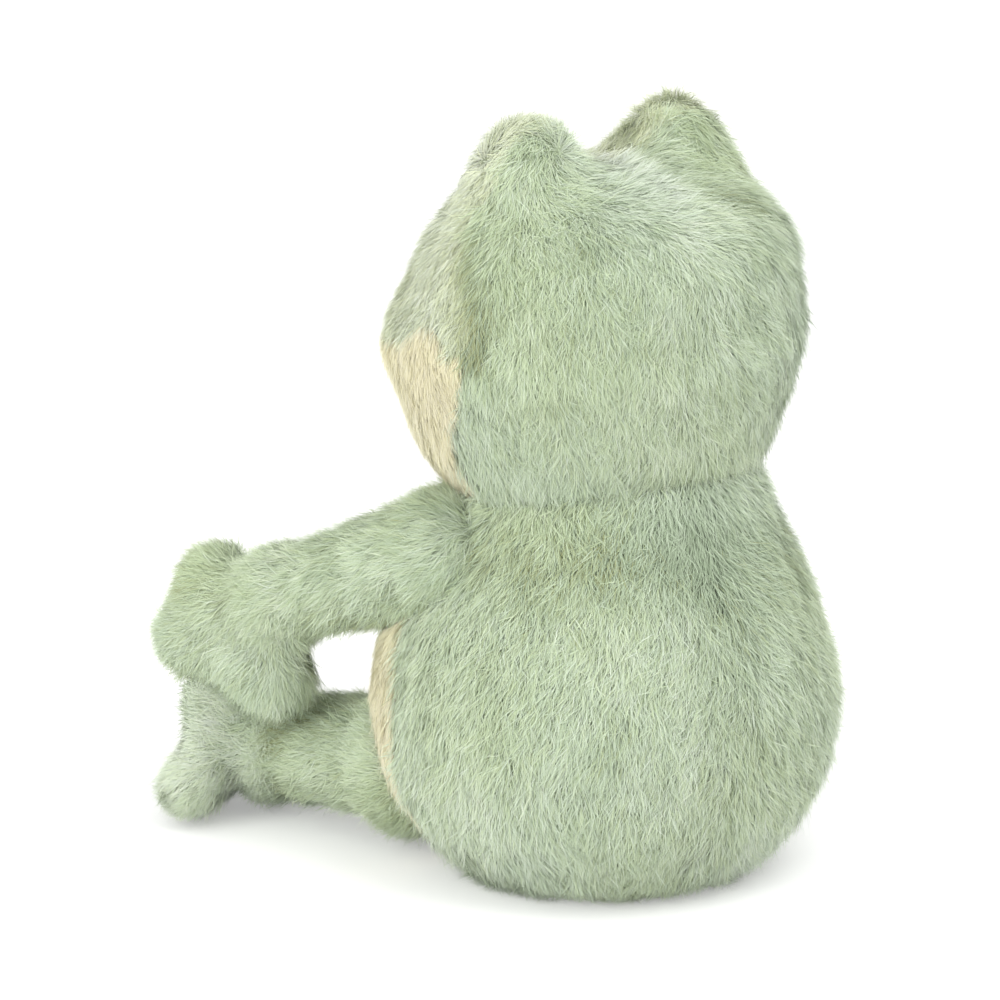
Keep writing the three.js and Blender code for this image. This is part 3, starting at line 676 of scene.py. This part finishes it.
for node in ("torso_back_left", "torso_back_right", "tummy_panel", "base_panel"):
    hide = ["torso_stuffing"] if node == "tummy_panel" else []
    sewn_skin(node + "_cloth", "torso", node, "torso", torso_panel, torso_seams, hide)
for node in ("head_back_left", "head_back_right", "face_panel", "muzzle_panel"):
    hide = ["head_stuffing"] if node == "face_panel" else []
    sewn_skin(node + "_cloth", "head", node, "head", head_panel, head_seams, hide)
for limb in ("arm", "hand", "leg", "foot"):
    for word in ("left", "right"):
        part = f"{limb}_{word}"
        sewn_skin(part + "_cloth", part, part + "_skin", part, hide=[part + "_stuffing"])

# %% [markdown]
# ## The pile
# Long plush is thousands of crimped fibres that lie one way and stick together in locks. Particle hair
# looks right but can't be posed or exported, so each strand here is a thin ribbon of three faces. All
# strands of a panel are one mesh, built from arrays in one go. A strand leaves the cloth steeply,
# bends over along the lie of the pile, and leans towards its lock's middle. Its own faces would catch
# the light like blades, so each is shaded as the cloth under it, and the pile looks soft.

# %% Where strands stand
def roots_on(form, density, seed):
    """Random points over a form's skin, so many to the square millimetre."""
    maker = np.random.default_rng(seed)
    grid = grids[form]
    a, b = grid[:-1], np.roll(grid[:-1], -1, 1)
    c, d = np.roll(grid[1:], -1, 1), grid[1:]
    corners = np.concatenate([np.stack(three, 2).reshape(-1, 3, 3) for three in ([a, b, c], [a, c, d])])
    areas = np.linalg.norm(np.cross(corners[:, 1] - corners[:, 0], corners[:, 2] - corners[:, 0]), axis=1) / 2
    count = int(areas.sum() * density)
    picked = corners[maker.choice(len(areas), count, p=areas / areas.sum())]
    u, v = maker.random((2, count, 1))
    u, v = np.where(u + v > 1, 1 - u, u), np.where(u + v > 1, 1 - v, v)
    return picked[:, 0] + u * (picked[:, 1] - picked[:, 0]) + v * (picked[:, 2] - picked[:, 0])


def unit(vectors):
    return vectors / np.maximum(np.linalg.norm(vectors, axis=1, keepdims=True), 1e-9)


def lock_of(points, size, seed):
    """A number for each strand's lock: cells of space, bent by soft noise so that no grid shows."""
    bent = points + size * 0.7 * np.stack([waves(points, size * 4, seed + i) for i in range(3)], axis=1)
    cells = np.floor(bent / size).astype(np.int64)
    keys = (cells[:, 0] * 73856093) ^ (cells[:, 1] * 19349663) ^ (cells[:, 2] * 83492791)
    return np.unique(keys, return_inverse=True)[1]


def mean_of(values, groups):
    totals = np.stack([np.bincount(groups, column) for column in values.T], axis=1)
    return totals / np.bincount(groups)[:, None]


# %% Strand finishes
def pile(name, tones, painted_root_shade, tip_shade):
    """Across a strand's map runs its tone, picked for each strand; along it runs root to tip, with the root
    painted darker as painted shade among the strands.
    """
    material, tree = new_material(name)
    strand_map = tree.nodes.new("ShaderNodeUVMap")
    strand_map.uv_map = "OFBake"
    split = tree.nodes.new("ShaderNodeSeparateXYZ")
    tree.links.new(strand_map.outputs["UV"], split.inputs["Vector"])
    tone = ramp(tree, split.outputs["X"], [(place, light(*colour)) for place, colour in tones])
    shade = ramp(tree, split.outputs["Y"], [
        (0.0, light(*[painted_root_shade] * 3)), (0.5, light(*[244] * 3)), (1.0, light(*[tip_shade] * 3))])
    surface(tree, mix(tree, "MULTIPLY", 1.0, tone, shade), 0.8, sheen=0.25)
    return material


# The last two numbers of each pile are the greys of the root, painted darker as painted shade, and of the
# tip.
piles = {
    "long_pile": pile("green_pile", [
        (0.0, (158, 162, 112)), (0.16, (198, 214, 173)), (0.3, (216, 230, 195)), (0.49, (240, 248, 224)),
        (0.51, (170, 188, 156)), (0.66, (200, 216, 187)), (0.8, (218, 232, 208)), (1.0, (242, 249, 236))],
        205, 255),
    "face_pile": pile("face_pile", [
        (0.0, (200, 208, 160)), (0.25, (232, 239, 202)), (0.49, (248, 251, 228)),
        (0.51, (202, 212, 180)), (0.75, (231, 239, 216)), (1.0, (247, 251, 240))], 220, 255),
    "cream_pile": pile("cream_pile", [
        (0.0, (238, 228, 180)), (0.25, (250, 245, 205)), (0.49, (254, 252, 226)),
        (0.51, (236, 228, 188)), (0.75, (249, 243, 212)), (1.0, (254, 251, 234))], 246, 255),
}


# %% Growing strands
STRIP = np.array([0, 1, 2, 2, 1, 3, 2, 3, 4])
STRIP_SIDES = np.array([-1, 1, -1, 1, 0])
STRIP_HEIGHTS = np.array([0.01, 0.01, 0.45, 0.45, 0.99])
BENDS = ((0.45, 0.9), (0.55, 0.28))
WHORL_SHARE, WHORL_LIFT = 0.45, 20
STRAY_SHARE, STRAY_LIFT = 0.07, 18
FLOOR_GAP = 0.2


def strand_mesh(name, corners, shaded, tone):
    """Thin strips of three triangles, with each strand's tone across its map and its height along it."""
    count = len(corners)
    mesh = bpy.data.meshes.new(name)
    mesh.vertices.add(count * 5)
    mesh.vertices.foreach_set("co", (corners.reshape(-1) * 0.001).astype(np.float32))
    mesh.loops.add(count * 9)
    loops = (np.arange(count)[:, None] * 5 + STRIP).ravel()
    mesh.loops.foreach_set("vertex_index", loops.astype(np.int32))
    mesh.polygons.add(count * 3)
    mesh.polygons.foreach_set("loop_start", np.arange(0, count * 9, 3, dtype=np.int32))
    mesh.polygons.foreach_set("use_smooth", np.ones(count * 3, bool))
    strand_map = mesh.uv_layers.new(name="OFBake")
    u = tone[:, None] + 0.002 * STRIP_SIDES[STRIP]
    v = np.tile(STRIP_HEIGHTS[STRIP], (count, 1))
    strand_map.data.foreach_set("uv", np.stack([u, v], axis=-1).ravel().astype(np.float32))
    mesh.update(calc_edges=True)
    mesh.normals_split_custom_set_from_vertices(np.repeat(shaded, 5, axis=0))
    return mesh


def grow(name, body, slot, roots, outward, lie, length, tone, seed,
         width=0.18, steep=27, wild=1.0, lean=0.1, depth=SKIN_DEPTH, lock_size=3.2, clump=0.18):
    """A panel's pile. lie, length and tone are given for each strand.

    A strand rises at its steepness in degrees, turned and lifted at random by how wild it is. Where the
    lie points straight out of the cloth there is a whorl, and strands there turn any way.
    """
    maker = np.random.default_rng(seed)
    count = len(roots)
    lock = lock_of(roots, lock_size, seed)
    locks = lock.max() + 1
    flow = lie - outward * np.sum(lie * outward, axis=1, keepdims=True)
    whorl = np.clip(1 - np.linalg.norm(flow, axis=1) / np.linalg.norm(lie, axis=1) / WHORL_SHARE, 0, 1)
    flow = unit(flow)
    turn = wild * (maker.normal(0, 0.2, locks)[lock] + maker.normal(0, 0.32, count))
    turn += whorl * maker.normal(0, 2, count)
    flow = flow * np.cos(turn)[:, None] + np.cross(outward, flow) * np.sin(turn)[:, None]
    sideways = np.cross(outward, flow)
    stray = maker.random(count) < STRAY_SHARE
    lift = wild * (maker.normal(0, 6, locks)[lock] + maker.normal(0, 7, count))
    lift += STRAY_LIFT * stray + WHORL_LIFT * whorl
    length = length * maker.uniform(0.7, 1.15, count) * maker.uniform(0.88, 1.12, locks)[lock]
    pull = mean_of(roots, lock)[lock] - roots
    pull = pull - outward * np.sum(pull * outward, axis=1, keepdims=True)
    points = [roots - outward * depth]
    for share, steep_share in BENDS:
        rise = np.radians(steep * steep_share + lift)[:, None]
        curl = sideways * maker.normal(0, 0.2, count)[:, None]
        step = flow * np.cos(rise) + outward * np.sin(rise) + curl
        points.append(points[-1] + step * (length * share)[:, None] + pull * (clump * wild * share))
    along = unit(points[2] - points[0])
    roll = np.clip(maker.normal(0, 0.22, count), -0.6, 0.6)[:, None]
    across = unit(np.cross(along, outward))
    across = across * np.cos(roll) + np.cross(along, across) * np.sin(roll)
    half = across * (width * maker.uniform(0.35, 0.65, count) * np.where(stray, 0.6, 1))[:, None]
    low, middle, tip = points
    corners = np.stack([low - half, low + half, middle - half, middle + half, tip], axis=1)
    corners[..., 2] = np.maximum(corners[..., 2], FLOOR_GAP)
    shaded = unit(outward - lean * flow)
    mesh = strand_mesh(name, corners, shaded, tone)
    mesh.materials.append(piles[slot])
    piece = bpy.data.objects.new(name, mesh)
    bpy.context.collection.objects.link(piece)
    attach(piece, body)
    print(name, count, "strands")
    return piece


# %% [markdown]
# ### The lie of the pile
# The pile runs down the body and the head, away from the back seam, along the arms and legs to their
# ends, and across the saddle between the mounds. Strands whose roots would lie inside a neighbour
# are left out, and the pile is shorter on the face, the muzzle and the tummy.

# %% Which way it lies and how long it is
DOWN = np.array([0, 0, -1.0])


def parting(points, reach):
    """Which way, and how much, the pile falls aside from the back seam."""
    return np.tanh(points[:, 0] / 9) * fade(points[:, 0], reach) * np.clip(points[:, 1] / 15, 0, 1)


def ruffled(lie, points, seed, broad, fine):
    """The same lie, turned this way and that over broad patches and small ones."""
    for length, amount in ((32, broad), (9, fine)):
        lie = lie + amount * np.stack([waves(points, length, seed + i) for i in range(3)], axis=1)
        seed += 3
    return lie


def torso_lie(points):
    lie = np.tile(DOWN, (len(points), 1))
    lie[:, 0] += 0.5 * parting(points, 36)
    return ruffled(lie, points, 110, 0.24, 0.2)


def head_lie(points):
    lie = np.tile(DOWN, (len(points), 1))
    saddle = fade(points[:, 0], 20) * np.clip((points[:, 2] - 196) / 16, 0, 1)
    lie[:, 0] += 0.4 * parting(points, 30)
    lie += saddle[:, None] * np.array([-1.6, 0.6, 0.5])
    front = np.clip(-points[:, 1] / 30, 0, 1)
    lie[:, 0] += np.tanh(points[:, 0] / 9) * 0.25 * front
    tops = np.clip((points[:, 2:] - 222) / 12, 0, 1)
    lie += 0.9 * tops * np.stack([waves(points, 14, 240 + i) for i in range(3)], axis=1)
    return ruffled(lie, points, 210, 0.24, 0.22)


def limb_lie(points, side, start, end, droop):
    ahead = (end - start) * (side, 1, 1)
    lie = np.tile(ahead / np.linalg.norm(ahead), (len(points), 1)) + droop * DOWN
    return ruffled(lie, points, 310, 0.15, 0.15)


def tip_lie(points, side, root, joint, droop, axes):
    """Past the joint the limb's own lie goes on, and it fans out in the pad's plane towards the tips."""
    ahead = (joint - root) * (side, 1, 1)
    normal = axes[2] * (side, 1, 1)
    away = unit(points - joint * (side, 1, 1))
    fanned = away - 0.8 * (away @ normal)[:, None] * normal
    return ruffled(ahead / np.linalg.norm(ahead) * 0.3 + fanned + droop * DOWN, points, 410, 0.15, 0.18)


def clear_of(points, *neighbours, depth=0.5):
    """True where a point is outside all the named forms."""
    keep = np.ones(len(points), bool)
    for neighbour in neighbours:
        keep &= fields[neighbour](points) > -depth
    return keep


DENSITY = {"torso": 3.55, "head": 5.4, "limb": 5.0}


def tones(points, seed, middle=0.5):
    maker = np.random.default_rng(seed)
    lumps = 0.08 * waves(points, 30, seed) + 0.07 * waves(points, 7, seed + 1)
    return middle + lumps + maker.normal(0, 0.14, len(points))


def hued(tone, points, seed, warm=0.5):
    """The tone's place on a ramp whose first half is the warm hue and whose second half is the cool one."""
    cool = np.random.default_rng(seed).random(len(points)) > warm + 0.3 * waves(points, 38, seed)
    return np.clip(tone, 0.03, 0.95) * 0.5 + 0.5 * cool


# %% [markdown]
# ### Panel by panel
# Long pile covers the body's back, the head's back and the limbs. The base, the tummy and the muzzle
# have a short, even pile, the face a slightly longer one. Shade is painted into the pile's tone: it is
# darker in the crease under the neck, along the parting of the back, beside the face and where one limb lies
# close to another.

# %% Growing a body's panels
# Steepness in degrees, wildness, depth of the roots and reach of each short pile.
SHORT_PILES = {
    "tummy_panel": (27, 0.5, 1.1, 6.4), "muzzle_panel": (27, 0.5, 1.1, 6.8),
    "base_panel": (20, 0.6, SKIN_DEPTH, 4.5), "face_panel": (30, 1.1, SKIN_DEPTH, 7.4)}
LONG_REACH = 9.6


def grow_panels(body, nodes, seed, roots, panel, outward, lie, tone, steep, reach, width):
    """The pile of each panel; steep and reach are the long pile's, for each strand."""
    for i, node in enumerate(nodes):
        mine = panel == node
        stand = SHORT_PILES.get(node, (steep[mine], 1.0, SKIN_DEPTH, reach[mine]))
        grow(node + "_pile", body, SLOTS.get(node, "long_pile"), roots[mine], outward[mine], lie(roots[mine]),
             stand[3], tone[mine], seed + i, width=width, steep=stand[0], wild=stand[1], depth=stand[2])


def calmed(tone, panel, node):
    """Half the spread of tones on one panel, whose short pile looks even."""
    return np.where(panel == node, 0.25 + tone / 2, tone)


# %% Pile of the body
OVERHANG = np.array([0, 4.0, 0])
NECK_CREASE_HEIGHT = 112

roots = roots_on("torso", DENSITY["torso"], 1)
roots = roots[clear_of(roots, "head", "arm_left", "arm_right", "leg_left", "leg_right", depth=1.5)]
panel = torso_panel(roots + OVERHANG)
roots = eased("torso", roots)
# Painted shade: the pile's tone is made darker in the crease under the neck and along the parting of the
# back.
neck_crease_shade = fade(roots[:, 2] - NECK_CREASE_HEIGHT, 12) * (roots[:, 1] > 0)
parting_shade = fade(roots[:, 0] + 6 * waves(roots, 20, 9), 7) * (roots[:, 1] > 0)
tone = calmed(tones(roots, 51) - 0.25 * neck_crease_shade - 0.14 * parting_shade, panel, "tummy_panel")
grow_panels(
    "torso", ("torso_back_left", "torso_back_right", "tummy_panel", "base_panel"), 60,
    roots, panel, way_out("torso", roots), torso_lie, hued(tone, roots, 55),
    np.full(len(roots), 27), np.full(len(roots), LONG_REACH), 0.21)

# %% Pile of the head
# At the foot of the right mound the pile stands up in a ridge, which is painted lighter as a painted
# highlight. A band on the mound's side above it is painted darker, as painted shade.
MOUND_RIDGE = smooth_through([
    (0, -4, 225.5), (2.4, 12, 225), (2.2, 24, 222), (-1.4, 31.5, 219.5), (-6.6, 37, 216.5),
    (-16, 39.6, 213), (-28, 39.4, 209.6)], 6)
MOUND_SIDE_SHADE_LINE = MOUND_RIDGE + 7 * unit(np.array([-28, 4, 236]) - MOUND_RIDGE)
MOUND_FOOT_HEIGHT, SADDLE_HEIGHT, CHEEK_HEIGHT, RIM_HEIGHT = 205, 196, 185, 130
FACE_THINNING = 8


def near_line(points, line, width=4.0):
    """1 on a line of points, fading to 0 a few millimetres from it."""
    return fade(np.min([np.linalg.norm(points - place, axis=1) for place in line], axis=0), width)


def pile_edge(points):
    """The place that tells which panel's pile a strand is, moved where a pile hangs over a seam."""
    edge = points.copy()
    edge[:, 1] += 9.0 * np.clip((CHEEK_HEIGHT - points[:, 2]) / 35, 0, 1.35)
    edge[:, 1] += 4.0 * fade(points[:, 2] - 148, 14)
    edge[:, 2] -= 8.0 * fade(points[:, 1] + 8, 10)
    return np.where(points[:, 2:] < CHEEK_HEIGHT, edge, points)


roots = roots_on("head", DENSITY["head"], 2)
roots = roots[np.linalg.norm(roots - NECK_PIVOT, axis=1) > NECK_BALL + 0.5]
panel = head_panel(pile_edge(roots))
kept = (panel != "face_panel") | (np.arange(len(roots)) % FACE_THINNING > 0)
roots, panel = roots[kept], panel[kept]
mounds = np.clip((roots[:, 2] - MOUND_FOOT_HEIGHT) / 20, 0, 1)
right = roots[:, 0] < 0
# Painted shade: the tone is darker in the crease beside the face seam. Painted light: it is a little lighter
# on the crown. The left mound's pile is a little lighter and the right one's darker and warmer.
crease_shade = fade(behind(roots, face_seam), 6) * (above_muzzle(roots) > 0) * (1 - mounds)
crown_light = fade(roots[:, 0], 18) * np.clip((roots[:, 2] - SADDLE_HEIGHT) / 14, 0, 1)
# Painted highlight along the ridge and painted shade in the band beside it, on the right mound.
ridge_with_highlight, mound_side_shade = near_line(roots, MOUND_RIDGE), near_line(roots, MOUND_SIDE_SHADE_LINE)
tone = tones(roots, 52) - 0.45 * crease_shade + 0.02 * crown_light + 0.08 * mounds * np.where(right, -1, 1)
tone = calmed(tone + 0.2 * ridge_with_highlight - 0.3 * mound_side_shade, panel, "muzzle_panel")
grow_panels(
    "head", ("head_back_left", "head_back_right", "face_panel", "muzzle_panel"), 70,
    roots, panel, slope_of(head_field, roots), head_lie,
    hued(tone, roots, 56, warm=0.5 + 0.3 * mounds * right),
    24 + 14 * ridge_with_highlight, LONG_REACH * (1 + 0.3 * fade(roots[:, 2] - RIM_HEIGHT, 8)), 0.18)

# %% Pile of the limbs
LIMB_PILE = {"arm": 10.5, "hand": 9.6, "leg": 9.5, "foot": 9.5}
# Each limb's middle tone. The feet's is much paler, as painted light on the feet.
LIMB_TONE = {"arm": 0.4, "hand": 0.46, "leg": 0.46, "foot": 0.84}
# How much painted shade each neighbour puts on a limb's pile, turning it darker and warmer, and from how many
# millimetres away.
CREASE_SHADES = {
    "arm": [], "hand": [("foot", 0.25, 7)], "leg": [("foot", 0.2, 6), ("hand", 0.3, 14)],
    "foot": [("leg", 0.3, 7), ("hand", 0.3, 7)]}
LIMB_LEAN = {"arm": 0.4, "hand": 0.1, "leg": 0.25, "foot": -0.2}

for side, word in ((1, "left"), (-1, "right")):
    neighbours = {
        "arm": ["torso", f"hand_{word}"], "hand": [f"arm_{word}", "torso", f"foot_{word}", f"leg_{word}"],
        "leg": ["torso", f"foot_{word}"], "foot": [f"leg_{word}", f"hand_{word}"]}
    lies = {
        "arm": lambda p: limb_lie(p, side, SHOULDER, WRIST, 0.3),
        "hand": lambda p: tip_lie(p, side, SHOULDER, WRIST, 0.4, HAND_AXES),
        "leg": lambda p: limb_lie(p, side, HIP, ANKLE, 0.1),
        "foot": lambda p: tip_lie(p, side, HIP, ANKLE, 0.1, FOOT_AXES)}
    for i, limb in enumerate(LIMB_PILE):
        part = f"{limb}_{word}"
        roots = roots_on(part, DENSITY["limb"], 83 + 10 * i)
        roots = eased(part, roots[clear_of(roots, *neighbours[limb], depth=2.0)])
        tone = tones(roots, 84 + 10 * i, LIMB_TONE[limb]) + 0.1 * waves(roots, 13, 87)
        # Painted shade where a neighbour lies close: the pile's tone is darker and warmer there.
        crease_shade = np.zeros(len(roots))
        for other, amount, reach in CREASE_SHADES[limb]:
            crease_shade += amount * fade(np.maximum(fields[f"{other}_{word}"](roots), 0), reach)
        tone = hued(tone - crease_shade, roots, 57 + i, warm=0.55 + 0.5 * crease_shade)
        length = np.full(len(roots), LIMB_PILE[limb])
        if limb == "hand":
            length += 3.5 * near_line(roots, [FINGER_TIPS[2] * (side, 1, 1)], 10)
        grow(part + "_pile", part, "long_pile", roots, way_out(part, roots), lies[limb](roots),
             length, tone, 82 + 10 * i, steep=20, lock_size=4.5, lean=LIMB_LEAN[limb], clump=0.4)

# %% [markdown]
# ## Small parts
# The eyes are black plastic safety beads on shanks, held behind the cloth by washers. The mouth and
# the nostrils are satin stitches of dark thread. The real face is turned from the camera in the
# photograph, so these are plain ones, as on many frog plushes. The nodes of the small parts have the
# right shapes, so they only get a finish. The beads are turned again on a lathe, because a glossy
# dome shows every flat.

# %% Finishes of the small parts
def small_finish(name, stops, scale, roughness, coat=0.0, relief=0.0):
    """Mottled by fine noise, which also stands out as relief where the finish is rough."""
    material, tree = new_material(name)
    grain = noise(tree, scale)
    colours = [(place, light(*colour)) for place, colour in stops]
    shader = surface(tree, ramp(tree, grain, colours), roughness, coat=coat)
    if relief:
        bump(tree, shader, grain, relief)
    return material


small_finishes = {
    "eye_bead": small_finish("black_bead", [(0.35, (8, 8, 9)), (0.65, (16, 15, 16))], 40, 0.1, coat=1.0),
    "dark_thread": small_finish(
        "dark_thread", [(0.3, (38, 34, 30)), (0.7, (66, 60, 54))], 1800, 0.75, relief=0.0004),
    "green_thread": small_finish(
        "green_thread", [(0.3, (150, 166, 128)), (0.7, (182, 197, 160))], 1800, 0.8, relief=0.0004),
    "washer": small_finish("clear_white_plastic", [(0.3, (222, 223, 220)), (0.7, (240, 241, 238))], 90, 0.35),
    "stuffing": small_finish(
        "white_fibre", [(0.3, (224, 222, 214)), (0.7, (248, 247, 243))], 300, 0.95, relief=0.001),
    "pouch_cloth": small_finish(
        "pouch_cloth", [(0.3, (216, 210, 196)), (0.7, (238, 234, 224))], 1200, 0.9, relief=0.0005),
}
small_parts = {
    "eye_bead": ["eye_left", "eye_right"],
    "dark_thread": ["mouth_stitch", "nostril_stitch_left", "nostril_stitch_right"],
    "green_thread": ["neck_thread"],
    "washer": ["eye_washer_left", "eye_washer_right"],
    "pouch_cloth": ["pellet_pouch"],
    "stuffing": [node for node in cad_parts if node.endswith("_stuffing")]}
for slot, nodes in small_parts.items():
    for node in nodes:
        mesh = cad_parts[node].data
        mesh.materials.clear()
        mesh.materials.append(small_finishes[slot])
print("small parts finished:", sum(len(nodes) for nodes in small_parts.values()))

# %% Eye beads
BEAD_RADIUS, BEAD_DOME = 6.2, 4.4


def turned_bead(name, node, turns=48, rows=12):
    """A bead on the axis of its node: a smooth dome with a rounded rim, and the shank behind it."""
    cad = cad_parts[node].data
    corners = np.array([corner.co for corner in cad.vertices]) * 1000
    around = np.linalg.norm(corners - HEAD_CENTRE, axis=1)
    top = corners[around.argmax()]
    end = corners[np.linalg.norm(corners - top, axis=1) > 12].mean(axis=0)
    axis = (top - end) / np.linalg.norm(top - end)
    seat = top - axis * BEAD_DOME
    sides = np.linspace(0, math.pi / 2, rows)
    profile = [(0.2, -9.0), (1.6, -9.0), (1.6, -0.4), (BEAD_RADIUS - 0.5, -0.4), (BEAD_RADIUS, 0.0)]
    profile += [(BEAD_RADIUS * math.cos(turn), BEAD_DOME * math.sin(turn)) for turn in sides[1:-1]]
    profile.append((0.05, BEAD_DOME))
    across = np.cross(axis, (0, 0, 1.0))
    across /= np.linalg.norm(across)
    upward = np.cross(axis, across)
    angles = 2 * math.pi * np.arange(turns) / turns
    points = [seat + axis * high + wide * (np.cos(angle) * across + np.sin(angle) * upward)
              for wide, high in profile for angle in angles]
    count = len(profile)
    rings = [[row * turns + j for j in range(turns)] for row in range(count)]
    faces = [(low[j - 1], low[j], high[j], high[j - 1])
             for low, high in zip(rings, rings[1:]) for j in range(turns)]
    faces += [tuple(rings[0][::-1]), tuple(rings[-1])]
    piece = piece_from(name, np.array(points), faces, small_finishes["eye_bead"])
    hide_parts(node)
    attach(piece, "head")
    print(name, "seat", np.round(seat, 1), "looks", np.round(axis, 2))


for word in ("left", "right"):
    turned_bead("eye_bead_" + word, "eye_" + word)
